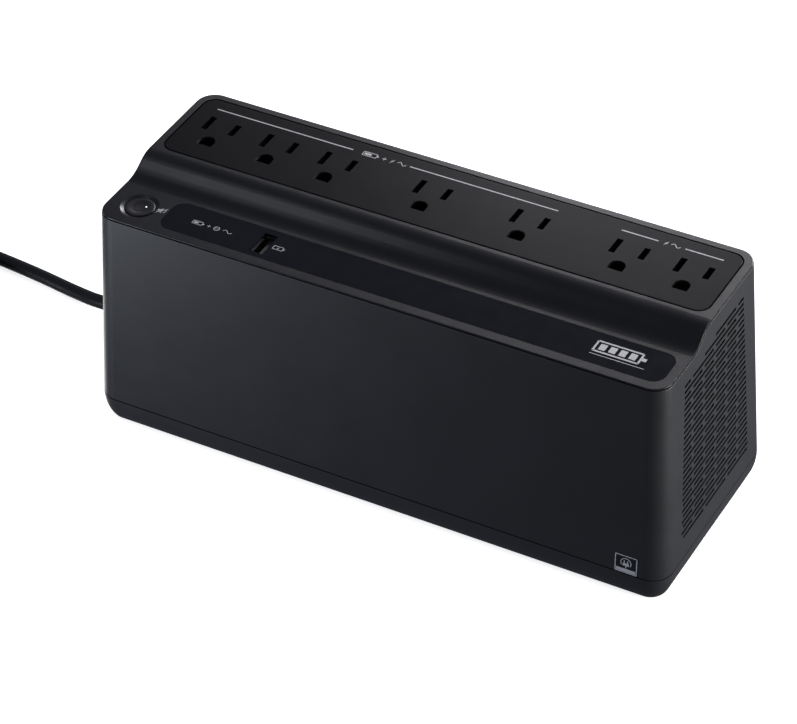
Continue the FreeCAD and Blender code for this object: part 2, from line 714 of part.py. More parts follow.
# ---------------------------------------------------------------- battery
battery_z0 = z_floor + 0.05
cell = box(battery_left, battery_right, battery_front, battery_back, battery_z0,
           battery_z0 + battery_size[2] - 5)
upright = [e for e in cell.Edges if abs(e.BoundBox.ZLength) > 50]
cell = cell.makeFillet(1.5, upright)
lid = box(battery_left + 1, battery_right - 1, battery_front + 1, battery_back - 1,
          battery_z0 + battery_size[2] - 5.5, battery_z0 + battery_size[2])
battery_top = battery_z0 + battery_size[2]
export("battery", join([cell, lid]))
tab_x = battery_left + 6.0
tab_ys = (-8.0, -32.0)
battery_tab_h = 5.8
export("battery_tabs", group([box_at(tab_x, y, battery_top, 0.8, 6.35, battery_tab_h) for y in tab_ys]))
lead_x = -40.6
connector_z = battery_top + 0.1
connector = [box_at(tab_x, y, connector_z, 7.0, 9.0, 4.4).cut(
    box_at(tab_x, y, connector_z - 1, 0.9, 6.5, 7)) for y in tab_ys]
export("battery_connectors", group(connector))
lead_z = connector_z + 2.2
block_face = -31.0
for name, y, z in (("positive_lead", tab_ys[0], 80.0), ("negative_lead", tab_ys[1], 72.0)):
    route = [(tab_x - 3.5, y, lead_z), (lead_x, y, lead_z), (lead_x, y, z), (lead_x, 34.0, z),
             (block_face, 34.0, z)]
    export(name, wire_lead(route, 1.5))

# ---------------------------------------------------------------- transformer
core = box_at(core_x, 0, core_z0, *core_size)
window_w = 11.0
leg = 22.0
window_z0 = core_z0 + 11.0
window_h = core_size[2] - 22.0
for side in (-1, 1):
    core = core.cut(box_at(core_x, side * (leg / 2 + window_w / 2), window_z0, 60, window_w, window_h))
export("transformer_core", core)
bobbin_x = core_size[0] / 2 + 9.0
winding = box(core_x - bobbin_x, core_x + bobbin_x, -leg / 2 - window_w + 0.4, leg / 2 + window_w - 0.4,
              window_z0 + 1.5, window_z0 + window_h - 1.5)
winding = winding.makeFillet(6.0, [e for e in winding.Edges if abs(e.BoundBox.ZLength) > 20])
core_pocket = box_at(core_x, 0, core_z0, core_size[0] + 0.2, leg + 0.2, 70)
winding = winding.cut(core_pocket)
flange_w = window_w - 0.5
bobbin = []
for z in (window_z0 + 0.1, window_z0 + window_h - 1.4):
    flange = box(core_x - bobbin_x - 0.6, core_x + bobbin_x + 0.6, -leg / 2 - flange_w, leg / 2 + flange_w,
                 z, z + 1.3)
    bobbin.append(flange.cut(core_pocket))
export("transformer_winding", winding)
export("transformer_bobbin", group(bobbin))
bracket_t = 1.5
bracket_side = core_size[1] / 2 + 0.1
bracket = [box_at(core_x, 0, core_z0 + core_size[2] + 0.1, 34, 2 * (bracket_side + bracket_t), bracket_t)]
for side in (-1, 1):
    y0 = side * bracket_side
    y1 = side * (bracket_side + bracket_t)
    bracket.append(box(core_x - 17, core_x + 17, min(y0, y1), max(y0, y1), z_floor + 1.6,
                       core_z0 + core_size[2] + 0.1 + bracket_t))
    y2 = side * (bracket_side + 9.5)
    bracket.append(box(core_x - 17, core_x + 17, min(y0, y2), max(y0, y2), z_floor + 1.6,
                       z_floor + 1.6 + bracket_t))
bracket = join(bracket).cut([rod(x, y, z_floor, z_floor + 9, 1.7) for x, y in core_screws])
export("transformer_bracket", bracket)
screws = []
for x, y in core_screws:
    seat = z_floor + 1.6 + bracket_t
    screws.append(join([rod(x, y, seat, seat + 1.8, 2.7), rod(x, y, z_floor - 2.6, seat + 0.1, 1.3)]))
export("transformer_screws", group(screws))

# ---------------------------------------------------------------- main board
main_board = box(board_left, board_right, board_y, board_y + board_t, board_low, board_high)
main_board = main_board.cut([rod_y(x, board_y - 1, board_y + 3, z, 1.6) for x, z in board_screw_places])
export("main_board", main_board)
board_screws = []
for x, z in board_screw_places:
    head = rod_y(x, board_y - 1.8, board_y, z, 2.7)
    shank = rod_y(x, board_y - 0.1, board_y + board_t + 4.5, z, 1.25)
    board_screws.append(join([head, shank]))
export("board_screws", group(board_screws + control_screws))


def on_board(x0, x1, z0, z1, height):
    """A block that stands on the board's front face."""
    return box(x0, x1, board_y - height, board_y, z0, z1)


terminal_blocks = [on_board(block_face, -20, 67.5, 85.0, 9.0), on_board(block_face, -20, 45.5, 66.5, 9.0),
                   on_board(block_face, -20, 11.0, 35.0, 9.0)]
export("terminal_blocks", group(terminal_blocks))
export("relays", group([on_board(x, x + 19, 56, 71.5, 15.5) for x in (16, 38, 60)]))
capacitor_places = [(-9, 50, 6.5, 22), (6, 50, 6.5, 22), (-9, 34, 5, 16), (6, 34, 5, 16)]
export("capacitors", group([rod_y(x, board_y - h, board_y, z, r) for x, z, r, h in capacitor_places]))
varistor_r = 7.0
varistor_t = 4.2
varistors = [rod_x(x, x + varistor_t, board_y - 9.5, 19, varistor_r) for x in (-14, -6, 2)]
export("surge_varistors", group(varistors))
ring = Part.makeTorus(9.0, 4.2, V(24, board_y - 5.2, 24), V(0, 1, 0))
export("filter_choke", ring)
sink_left = 74.6
sink_low = 16.0
sink_high = 54.0
sink = [box(sink_left, sink_left + 30, board_y - 6.0, board_y - 3.0, sink_low, sink_high)]
for k in range(7):
    fin_x = sink_left + k * 4.7
    sink.append(box(fin_x, fin_x + 1.6, board_y - 22, board_y - 5.5, sink_low, sink_high))
sink += [rod_y(x, board_y - 3.2, board_y, z, 1.5) for x, z in ((81, 20), (98, 50))]
export("heat_sink", join(sink))
export("power_transistors", group([on_board(64, 74.0, z, z + 14, 4.6) for z in (20, 37)]))
export("controller_chips", group([on_board(42, 54, 34, 46, 2.2), control_chip]))
buzzer = rod_y(46, board_y - 8.5, board_y, 20, 6.0).cut(rod_y(46, board_y - 9, board_y - 7.6, 20, 1.0))
export("buzzer", buzzer)
export("blade_fuse", join([on_board(40, 60, 77.0, 82.0, 4.0), on_board(43, 57, 77.6, 81.4, 11.0)]))

# ---------------------------------------------------------------- circuit breaker
breaker_body_x = breaker_inner + 0.05
breaker_depth = 17.0
body = box(breaker_body_x, breaker_body_x + breaker_depth, breaker_y - 7.5, breaker_y + 7.5,
           breaker_z - 15, breaker_z + 15)
neck = rod_x(breaker_seat - 2.4, breaker_body_x + 0.5, breaker_y, breaker_z, breaker_hole_r - 0.15)
reset_r = 3.1
reset_bore = rod_x(breaker_seat - 3, breaker_body_x + 7, breaker_y, breaker_z, reset_r + 0.3)
export("breaker_body", join([body, neck]).cut(reset_bore))
nut = rod_x(breaker_seat - 2.1, breaker_seat - 0.02, breaker_y, breaker_z, 7.2)
nut = nut.cut(rod_x(breaker_seat - 3, breaker_seat + 1, breaker_y, breaker_z, breaker_hole_r - 0.1))
nut_notches = []
for k in range(6):
    notch = box(breaker_seat - 3, breaker_seat - 0.9, -0.7, 0.7, 6.4, 8)
    notch.rotate(V(0, 0, 0), V(1, 0, 0), 60 * k)
    notch.translate(V(0, breaker_y, breaker_z))
    nut_notches.append(notch)
export("breaker_nut", nut.cut(nut_notches))
reset_tip = breaker_face - 0.4
reset = rod_x(reset_tip, breaker_body_x + 5.5, breaker_y, breaker_z, reset_r)
tip_edges = [e for e in reset.Edges if abs(e.BoundBox.XMax - reset_tip) < 0.01 and e.Closed]
reset = reset.makeFillet(0.5, tip_edges[:1])
export("reset_button", reset)
blade_tabs = []
tab_start = breaker_body_x + breaker_depth
for dz in (-8.0, 8.0):
    blade_tabs.append(box(tab_start, tab_start + 8, breaker_y - 3.1, breaker_y + 3.1,
                          breaker_z + dz - 0.4, breaker_z + dz + 0.4))
export("breaker_tabs", group(blade_tabs))

# ---------------------------------------------------------------- leads
thin = 1.2
lead_y = 37.0
tab_mid = tab_start + 5.0
gland_inner = -half_l + 8.0
mains = [
    wire_lead([(gland_inner, cord_exit_y - 2.6, gland_z), (-113, cord_exit_y - 2.6, gland_z),
               (tab_mid, -20, 40), (tab_mid, breaker_y, breaker_z - 8.4)], thin),
    wire_lead([(gland_inner, cord_exit_y + 2.6, gland_z + 1), (-116, cord_exit_y + 2.6, gland_z + 1),
               (-107, lead_y, 24), (block_face, lead_y, 24)], thin),
    wire_lead([(gland_inner, cord_exit_y, gland_z - 2.6), (-117, cord_exit_y, gland_z - 2.6),
               (-107, lead_y, 16), (block_face, lead_y, 16)], thin),
]
mains.append(wire_lead([(tab_mid, breaker_y, breaker_z + 8.4), (tab_mid, breaker_y, breaker_z + 14),
                        (tab_mid, 4.0, breaker_z + 5), (tab_mid, lead_y, 50),
                        (-98, lead_y, 32), (block_face, lead_y, 32)], thin))
export("mains_leads", group(mains))
winding_top = window_z0 + window_h - 0.05
inner_leads = [
    wire_lead([(-48.5, 5, winding_top), (-48.5, 5, 68), (-48.5, lead_y, 60),
               (block_face, lead_y, 60)], thin),
    wire_lead([(-51.8, -6, winding_top), (-51.8, -6, 71), (-51.8, lead_y, 50),
               (block_face, lead_y, 50)], thin),
    wire_lead([(-55, -24, control_z), (-55, -24, 84), (-55, lead_y, 72), (-41, lead_y, 64),
               (block_face, lead_y, 64)], thin),
]
for x, y, z in ((-13.0, 29.2, 79.5), (92.0, 29.2, 79.5), (2.0, 20.0, 73.5), (10.0, 16.0, 77.0)):
    route = [(x, y, bus_z), (x, y, z), (x, board_y, z)]
    inner_leads.append(wire_lead(route, thin))
export("inner_leads", group(inner_leads))

# ---------------------------------------------------------------- strain relief
droop = math.radians(relief_droop)
yaw = math.radians(relief_yaw)
relief_dir = V(-math.cos(droop) * math.cos(yaw), math.cos(droop) * math.sin(yaw), -math.sin(droop))
relief_start = V(-half_l - 1.45, cord_exit_y, gland_z)
relief_end = relief_start + relief_dir * relief_length
collar = rod_x(-half_l + tray_wall + 0.1, gland_inner, cord_exit_y, gland_z, 6.2)
neck = rod_x(-half_l - 0.2, -half_l + tray_wall + 0.2, cord_exit_y, gland_z, gland_neck_r)
outer_flange = rod_x(-half_l - 1.6, -half_l - 0.1, cord_exit_y, gland_z, 6.4)
taper = Part.makeCone(5.6, cord_d / 2 + 0.45, relief_length, relief_start, relief_dir)
grooves = []
for k in range(5):
    at = relief_start + relief_dir * (6.0 + 3.2 * k)
    r_here = 5.6 + (cord_d / 2 + 0.45 - 5.6) * (6.0 + 3.2 * k) / relief_length
    groove = Part.makeCylinder(9, 1.3, at, relief_dir).cut(
        Part.makeCylinder(r_here - 0.75, 1.3, at, relief_dir))
    for turn in (0, 90, 180, 270):
        bridge = Part.makeBox(20, 2.4, 20, V(-10, -1.2, 0))
        if turn % 180 == (k % 2) * 90:
            bridge.rotate(V(0, 0, 0), V(1, 0, 0), turn)
            bridge.translate(at)
            groove = groove.cut(bridge)
    grooves.append(groove)
strain_relief = join([collar, neck, outer_flange, taper]).cut(grooves)
export("strain_relief", strain_relief)

# ---------------------------------------------------------------- cord, coil, tie and plug
cord_r = cord_d / 2
coil_inner = coil_mid_r - coil_turns_wide * cord_r
coil_outer = coil_mid_r + coil_turns_wide * cord_r
coil_height = coil_turns_high * cord_d
coil_entry_y = coil_y + coil_outer - cord_r
cord_route = [
    tuple(relief_end),
    tuple(relief_end + relief_dir * 13.0),
    (-189.0, 16.8, cord_r),
    (-211.0, 20.2, cord_r),
    (-233.5, 22.4, cord_r),
    (-256.0, 24.2, cord_r),
    (coil_x, coil_entry_y, cord_r),
]
tube, tube_length, radii = lead(cord_route, cord_r)
print("cord tube: length %.1f, volume / (section x length) %.4f" % (
    tube_length, tube.Volume / (math.pi * cord_r ** 2 * tube_length)))
print("cord tube radii:", ["%.0f" % r for r in radii])
ring_solid = rod(coil_x, coil_y, 0, coil_height, coil_outer).cut(
    rod(coil_x, coil_y, -1, coil_height + 1, coil_inner))
ring_solid = ring_solid.makeFillet(cord_r * 0.9, [e for e in ring_solid.Edges if e.Closed])
coil_length = coil_turns * 2 * math.pi * coil_mid_r

tail_x = coil_x - coil_outer + cord_r
plug_axis_z = coil_height - cord_r
plug_relief = 22.0
tail_length = 30.0
tail_route = [(tail_x, coil_y, plug_axis_z), (tail_x, coil_y - tail_length, plug_axis_z)]
tail = wire_lead(tail_route, cord_r)
print("whole cord: %.1f" % (relief_length + tube_length + coil_length + tail_length + plug_relief))
entry_cut = rod(coil_x, coil_y, -1, coil_height + 1, coil_outer + 0.02)
export("power_cord", tube.cut(entry_cut))
export("cord_tail", tail.cut(entry_cut))

plug_x = tail_route[-1][0]
plug_y = tail_route[-1][1]
plug_w = 24.0
plug_l = 30.0
plug_h = 2 * plug_axis_z
relief_cone = Part.makeCone(cord_r + 0.4, 5.4, plug_relief, V(plug_x, plug_y, plug_axis_z), V(0, -1, 0))
plug_block_y = plug_y - plug_relief
plug_block = box(plug_x - plug_w / 2, plug_x + plug_w / 2, plug_block_y - plug_l, plug_block_y + 0.5,
                 0, plug_h)
plug_block = plug_block.makeFillet(4.5, [e for e in plug_block.Edges if abs(e.BoundBox.YLength) > 20])
plug_block = plug_block.makeFillet(1.2, [e for e in plug_block.Edges if e.BoundBox.YLength < 0.01])
plug_face = plug_block_y - plug_l
ground_z = plug_axis_z + ground_drop / 2
blade_z = ground_z - ground_drop
pin_root = 6.0
blades = []
for side in (-1, 1):
    cx = plug_x + side * blade_spacing / 2
    blades.append(box(cx - plug_blade[0] / 2, cx + plug_blade[0] / 2, plug_face - plug_blade[2],
                      plug_face + pin_root, blade_z - plug_blade[1] / 2, blade_z + plug_blade[1] / 2))
pin = rod_y(plug_x, plug_face - plug_blade[2] - 2.5, plug_face + pin_root, ground_z, ground_pin_r)
pin_socket = rod_y(plug_x, plug_face - 1, plug_face + pin_root, ground_z, ground_pin_r + 0.02)
plug_body = join([plug_block, relief_cone]).cut(blades + [pin_socket])
export("plug_body", plug_body)
export("plug_blades", group(blades))
export("plug_ground_pin", pin)

tie_w = 8.0
tie_t = 0.8
tie_half = coil_turns_wide * cord_r
tie_outer = rounded_slab(-tie_half - tie_t, tie_half + tie_t, 0, coil_height + 2 * tie_t, 2.5, 0, tie_w)
tie_inner = rounded_slab(-tie_half, tie_half, tie_t, coil_height + tie_t, 1.9, -1, tie_w + 1)
tie = tie_outer.cut(tie_inner)
tie.rotate(V(0, 0, 0), V(1, 0, 0), 90)
tie.rotate(V(0, 0, 0), V(0, 0, 1), 90)
tie.translate(V(coil_x - tie_w / 2, coil_y - coil_mid_r, 0))
export("cord_tie", tie)
export("cord_coil", ring_solid.cut(tie))

# ---------------------------------------------------------------- label on the front
label_x = 118.2
label_z = z_tray + 17.2
label_half = 5.2
label_half_h = 4.7
label_t = 0.12
label = box(-label_half, label_half, 0, label_t, -label_half_h, label_half_h)
label.rotate(V(0, 0, 0), V(1, 0, 0), -draft)
label_surface = -half_d + wall_in(label_z)
label.translate(V(label_x, label_surface - label_t - 0.01, label_z))
export("front_label", label)
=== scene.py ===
import json
import math

import bpy
from mathutils import Matrix, Vector


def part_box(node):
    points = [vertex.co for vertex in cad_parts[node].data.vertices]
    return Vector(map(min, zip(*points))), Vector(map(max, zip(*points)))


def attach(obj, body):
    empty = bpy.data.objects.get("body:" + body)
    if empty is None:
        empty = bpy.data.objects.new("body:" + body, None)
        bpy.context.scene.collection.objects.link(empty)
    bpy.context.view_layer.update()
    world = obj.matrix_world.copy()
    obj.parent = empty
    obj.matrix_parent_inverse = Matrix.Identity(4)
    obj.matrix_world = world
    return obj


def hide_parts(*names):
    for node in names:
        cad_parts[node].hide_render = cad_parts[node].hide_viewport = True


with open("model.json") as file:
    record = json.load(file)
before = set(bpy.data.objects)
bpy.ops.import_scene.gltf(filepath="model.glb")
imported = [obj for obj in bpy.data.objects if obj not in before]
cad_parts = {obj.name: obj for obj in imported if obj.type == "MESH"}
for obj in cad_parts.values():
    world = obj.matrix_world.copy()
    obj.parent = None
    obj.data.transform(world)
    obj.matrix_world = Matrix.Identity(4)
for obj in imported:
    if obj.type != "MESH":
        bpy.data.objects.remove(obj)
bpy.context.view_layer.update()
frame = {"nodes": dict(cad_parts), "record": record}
scene = bpy.context.scene
MM = 0.001

# ---------------------------------------------------------------- levels and places, in mm
DECK_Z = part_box("outlet_panel")[1].z / MM
SHELF_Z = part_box("inlay_strip")[1].z / MM
BUTTON_LOW, BUTTON_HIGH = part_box("power_button")
BUTTON_X = (BUTTON_LOW.x + BUTTON_HIGH.x) / 2 / MM
BUTTON_Y = (BUTTON_LOW.y + BUTTON_HIGH.y) / 2 / MM
DRAFT = math.radians(2.59)


# ---------------------------------------------------------------- camera
CAMERA_ANGLES = (29.2591, 38.7365, -1.3770)    # azimuth, elevation and roll, in degrees
CAMERA_AIM = (0, 0, 66)
CAMERA_ACROSS = 10.894                         # how far the view sits left of the aim
CAMERA_DOWN = 17.191                           # and below it
CAMERA_DISTANCE = 1443.173
SENSOR_WIDTH = 36
FOCAL_WIDTHS = 3451.03 / 797                   # focal length, in widths of the view


def place_camera():
    azimuth, elevation, roll = (math.radians(a) for a in CAMERA_ANGLES)
    back = Vector((
        math.sin(azimuth) * math.cos(elevation),
        -math.cos(azimuth) * math.cos(elevation),
        math.sin(elevation),
    ))
    right = Vector((math.cos(azimuth), math.sin(azimuth), 0))
    up = back.cross(right)
    across = right * math.cos(roll) + up * math.sin(roll)
    upward = up * math.cos(roll) - right * math.sin(roll)
    place = Vector(CAMERA_AIM) - across * CAMERA_ACROSS - upward * CAMERA_DOWN + back * CAMERA_DISTANCE
    data = bpy.data.cameras.new("camera")
    data.sensor_width = SENSOR_WIDTH
    data.lens = SENSOR_WIDTH * FOCAL_WIDTHS
    data.clip_start = 0.05
    data.clip_end = 30
    camera = bpy.data.objects.new("camera", data)
    turn = Matrix((across, upward, back)).transposed().to_4x4()
    camera.matrix_world = Matrix.Translation(place * MM) @ turn
    scene.collection.objects.link(camera)
    scene.camera = camera


# ---------------------------------------------------------------- light
SKY_COLOUR = (0.76, 0.81, 1.0, 1)
SKY_STRENGTH = 0.150
COOL = (0.85, 0.90, 1.0)
WARM = (1.0, 0.98, 0.95)
LILAC = (0.96, 0.94, 1.0)


def softbox(name, place, target, width, height, watts, colour=(1, 1, 1)):
    data = bpy.data.lights.new(name, "AREA")
    data.shape = "RECTANGLE"
    data.size = width * MM
    data.size_y = height * MM
    data.energy = watts
    data.color = colour
    light = bpy.data.objects.new(name, data)
    light.location = Vector(place) * MM
    aim = (Vector(target) - Vector(place)).to_track_quat("-Z", "Y")
    light.rotation_mode = "QUATERNION"
    light.rotation_quaternion = aim
    light.visible_camera = False
    scene.collection.objects.link(light)


def light_scene():
    scene.view_settings.view_transform = "Standard"
    world = bpy.data.worlds.new("studio")
    world.use_nodes = True
    sky = world.node_tree.nodes["Background"]
    sky.inputs["Color"].default_value = SKY_COLOUR
    sky.inputs["Strength"].default_value = SKY_STRENGTH
    scene.world = world
    softbox("front_left_low", (-330, -330, 40), (-130, -50, 60), 160, 160, 1.0, COOL)
    softbox("back_right", (190, 700, 400), (60, 20, 110), 300, 220, 4.2, LILAC)
    softbox("panel_key", (60, 380, 400), (110, 20, 110), 140, 140, 0.09)
    softbox("slope_key", (-281, -134, 510), (-110, -15, 110), 160, 160, 0.132, COOL)
    softbox("right_end", (620, 60, 120), (135, 0, 60), 300, 260, 4.1, WARM)
    softbox("right_back_low", (420, 420, 60), (135, 0, 60), 240, 120, 0.7, WARM)
    softbox("rim_left", (-330, 520, 330), (-20, 20, 110), 200, 160, 0.20, LILAC)
    softbox("rim_middle", (-160, 560, 330), (60, 20, 110), 200, 160, 1.2, LILAC)
    softbox("floor_left", (-408, 106, -190), (-135, -45, 60), 220, 160, 0.38, WARM)


# ---------------------------------------------------------------- mesh helpers
FILM_LOW = 0.002          # the ink's underside and face, above the surface it is on
FILM_HIGH = 0.03


def add_mesh(name, verts, faces, body="housing"):
    """A mesh from points in mm, which rides on a body; the floor has none."""
    mesh = bpy.data.meshes.new(name)
    mesh.from_pydata([tuple(Vector(v) * MM) for v in verts], [], faces)
    mesh.validate()
    made = bpy.data.objects.new(name, mesh)
    scene.collection.objects.link(made)
    if body:
        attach(made, body)
    return made


def stroke(x0, y0, x1, y1, width):
    """A straight stroke of ink between two points, as a four-cornered outline."""
    along = Vector((x1 - x0, y1 - y0)).normalized()
    side = Vector((-along.y, along.x)) * (width / 2)
    a, b = Vector((x0, y0)), Vector((x1, y1))
    return [tuple(a - side), tuple(b - side), tuple(b + side), tuple(a + side)]


def strokes(points, width, closed=False):
    ends = points[1:] + points[:1] if closed else points[1:]
    return [stroke(*a, *b, width) for a, b in zip(points, ends)]


def arc(cx, cy, radius, width, start, stop, steps):
    """A curved stroke, as short four-cornered outlines that share their ends."""
    shapes = []
    inner, outer = radius - width / 2, radius + width / 2
    for k in range(steps):
        a = math.radians(start + (stop - start) * k / steps)
        b = math.radians(start + (stop - start) * (k + 1) / steps)
        corners = [(outer, a), (outer, b), (inner, b), (inner, a)]
        shapes.append([(cx + r * math.cos(t), cy + r * math.sin(t)) for r, t in corners])
    return shapes


def rectangle(x0, y0, x1, y1):
    return [(x0, y0), (x1, y0), (x1, y1), (x0, y1)]


def printed(name, shapes, origin, upward=(0, 1, 0)):
    """Flat ink shapes, each a thin raised film, on a surface through origin."""
    across = Vector((1, 0, 0))
    upward = Vector(upward)
    normal = across.cross(upward)
    verts, faces = [], []
    for shape in shapes:
        area = sum(a[0] * b[1] - b[0] * a[1] for a, b in zip(shape, shape[1:] + shape[:1]))
        ring = shape if area > 0 else shape[::-1]
        first, count = len(verts), len(ring)
        for lift in (FILM_LOW, FILM_HIGH):
            verts += [Vector(origin) + across * x + upward * y + normal * lift for x, y in ring]
        faces.append([first + count + k for k in range(count)])
        for k in range(count):
            n = (k + 1) % count
            faces.append([first + k, first + n, first + count + n, first + count + k])
    film = add_mesh(name, verts, faces)
    film.data.materials.append(ink())


# ---------------------------------------------------------------- materials
class Finish:
    """A material's node tree with a Principled shader, and short calls that add nodes."""

    def __init__(self, name):
        self.material = bpy.data.materials.new(name)
        self.material.use_nodes = True
        self.tree = self.material.node_tree
        self.shader = self.tree.nodes["Principled BSDF"]
        self.coords = self.tree.nodes.new("ShaderNodeTexCoord").outputs["Object"]

    def set(self, **values):
        for key, value in values.items():
            self.shader.inputs[key.replace("_", " ")].default_value = value

    def link(self, source, target):
        self.tree.links.new(source, target)

    def put(self, socket, value):
        """Link a node's output, or set a plain value."""
        if isinstance(value, bpy.types.NodeSocket):
            self.link(value, socket)
        else:
            socket.default_value = value

    def stretched(self, scale):
        node = self.tree.nodes.new("ShaderNodeMapping")
        node.inputs["Scale"].default_value = scale
        self.link(self.coords, node.inputs["Vector"])
        return node.outputs["Vector"]

    def noise(self, size, detail=2.0, vector=None):
        """Noise whose blobs are about size millimetres across."""
        node = self.tree.nodes.new("ShaderNodeTexNoise")
        node.inputs["Scale"].default_value = 1 / (size * MM)
        node.inputs["Detail"].default_value = detail
        self.link(vector or self.coords, node.inputs["Vector"])
        return node.outputs["Fac"]

    def bands(self, pitch, axis, distortion=0.0):
        """Parallel ridges, pitch millimetres apart, across an axis."""
        node = self.tree.nodes.new("ShaderNodeTexWave")
        node.bands_direction = axis
        node.inputs["Scale"].default_value = 0.314 / (pitch * MM)
        node.inputs["Distortion"].default_value = distortion
        self.link(self.coords, node.inputs["Vector"])
        return node.outputs["Fac"]

    def cells(self, size):
        node = self.tree.nodes.new("ShaderNodeTexVoronoi")
        node.distance = "CHEBYCHEV"
        node.inputs["Scale"].default_value = 1 / (size * MM)
        self.link(self.coords, node.inputs["Vector"])
        return node.outputs["Distance"]

    def span(self, value, low, high, new_low, new_high):
        node = self.tree.nodes.new("ShaderNodeMapRange")
        node.inputs["From Min"].default_value = low
        node.inputs["From Max"].default_value = high
        node.inputs["To Min"].default_value = new_low
        node.inputs["To Max"].default_value = new_high
        self.link(value, node.inputs["Value"])
        return node.outputs["Result"]

    def product(self, a, b):
        node = self.tree.nodes.new("ShaderNodeMath")
        node.operation = "MULTIPLY"
        self.put(node.inputs[0], a)
        self.put(node.inputs[1], b)
        return node.outputs[0]

    def blend(self, amount, a, b):
        node = self.tree.nodes.new("ShaderNodeMix")
        node.data_type = "RGBA"
        self.put(node.inputs["Factor"], amount)
        for socket, colour in ((node.inputs[6], a), (node.inputs[7], b)):
            self.put(socket, (*colour, 1) if isinstance(colour, tuple) else colour)
        return node.outputs[2]

    def edges(self, radius):
        """0 on flat surfaces, rising to 1 where the surface turns within radius millimetres."""
        bevel = self.tree.nodes.new("ShaderNodeBevel")
        bevel.samples = 4
        bevel.inputs["Radius"].default_value = radius * MM
        geometry = self.tree.nodes.new("ShaderNodeNewGeometry")
        dot = self.tree.nodes.new("ShaderNodeVectorMath")
        dot.operation = "DOT_PRODUCT"
        self.link(bevel.outputs["Normal"], dot.inputs[0])
        self.link(geometry.outputs["Normal"], dot.inputs[1])
        return self.span(dot.outputs["Value"], 0.99, 0.80, 0.0, 1.0)

    def bump(self, height, depth):
        """A bump whose full height is depth millimetres."""
        node = self.tree.nodes.new("ShaderNodeBump")
        node.inputs["Distance"].default_value = depth * MM
        self.link(height, node.inputs["Height"])
        return node.outputs["Normal"]

    def use(self, colour=None, roughness=None, normal=None):
        for key, value in (("Base Color", colour), ("Roughness", roughness), ("Normal", normal)):
            if value is not None:
                self.link(value, self.shader.inputs[key])
        return self.material

    def unshaded_share(self, distance):
        """1 in the open, falling towards 0 inside slots and corners narrower than distance millimetres: the
        mask of painted shade in hollows.
        """
        node = self.tree.nodes.new("ShaderNodeAmbientOcclusion")
        node.samples = 4
        node.only_local = True
        node.inputs["Distance"].default_value = distance * MM
        return self.span(node.outputs["AO"], 0.30, 0.85, 0.0, 1.0)


PLAIN_SPECULAR = 0.5      # the shader's usual level, and the level on a dulled edge
EDGE_SPECULAR = 0.06


def shade(colour, factor):
    return tuple(min(c * factor, 1.0) for c in colour)


def moulded(name, colour, roughness=0.5, grain=0.4, depth=0.012, uneven=0.15, wear=0.0, wear_radius=0.5,
            painted_shade_reach=0.0, dull_edges=0.0, **values):
    """Moulded plastic or rubber: cloudy colour, fine grain, rubbed or dull edges and painted shade in
    hollows.
    """
    f = Finish(name)
    f.set(**values)
    cloud = f.noise(38.0, 3.0)
    fleck = f.noise(grain, 2.0)
    tone = f.blend(f.span(cloud, 0.3, 0.7, 0.0, 1.0), shade(colour, 1 - uneven), shade(colour, 1 + uneven))
    tone = f.blend(f.span(fleck, 0.35, 0.75, 0.0, 0.35), tone, shade(colour, 1.45))
    if wear:
        rubbed = f.product(f.edges(wear_radius), f.span(f.noise(2.2, 4.0), 0.35, 0.65, 0.35, 1.0))
        tone = f.blend(f.product(rubbed, wear), tone, shade(colour, 3.2))
    # painted shade: slots, gaps and corners within reach are darkened to 0.15 of the colour and their
    # specular is lowered
    if painted_shade_reach:
        unshaded = f.unshaded_share(painted_shade_reach)
        tone = f.blend(unshaded, shade(colour, 0.15), tone)
        f.link(f.product(unshaded, PLAIN_SPECULAR), f.shader.inputs["Specular IOR Level"])
    if dull_edges:
        specular = f.span(f.edges(dull_edges), 0.0, 1.0, PLAIN_SPECULAR, EDGE_SPECULAR)
        f.link(specular, f.shader.inputs["Specular IOR Level"])
    rough = f.span(f.noise(9.0, 3.0), 0.25, 0.75, roughness - 0.02, roughness + 0.02)
    return f.use(tone, rough, f.bump(fleck, depth))


def metal(name, colour, roughness=0.3, grain=(1, 1, 12)):
    """Bright metal with fine drawn lines and dull patches."""
    f = Finish(name)
    f.set(Metallic=1.0)
    lines = f.noise(1.4, 3.0, f.stretched(grain))
    cloud = f.noise(6.0, 2.0)
    tone = f.blend(f.span(cloud, 0.3, 0.7, 0.0, 1.0), shade(colour, 0.82), shade(colour, 1.05))
    return f.use(tone, f.span(lines, 0.3, 0.7, roughness - 0.08, roughness + 0.10), f.bump(lines, 0.004))


def ridged(name, low, high, pitch, axis, depth, roughness=0.5, distortion=0.0, **values):
    """Turns of wire or stacked sheets: ridges with dark gaps between them."""
    f = Finish(name)
    f.set(**values)
    ridge = f.bands(pitch, axis, distortion)
    cloud = f.noise(8.0, 2.0)
    tone = f.blend(ridge, low, high)
    tone = f.blend(f.span(cloud, 0.3, 0.7, 0.0, 0.3), tone, shade(high, 0.6))
    return f.use(tone, f.span(cloud, 0.2, 0.8, roughness - 0.07, roughness + 0.07), f.bump(ridge, depth))


def board(name):
    """Solder mask over copper traces."""
    f = Finish(name)
    f.set(Coat_Weight=0.3)
    traces = f.span(f.cells(5.2), 0.40, 0.46, 0.0, 1.0)
    tone = f.blend(traces, (0.012, 0.090, 0.036), (0.022, 0.150, 0.060))
    tone = f.blend(f.span(f.noise(20.0, 2.0), 0.3, 0.7, 0.0, 0.4), tone, (0.010, 0.070, 0.030))
    return f.use(tone, f.span(f.noise(3.0, 2.0), 0.2, 0.8, 0.30, 0.42), f.bump(traces, 0.03))


INK = []


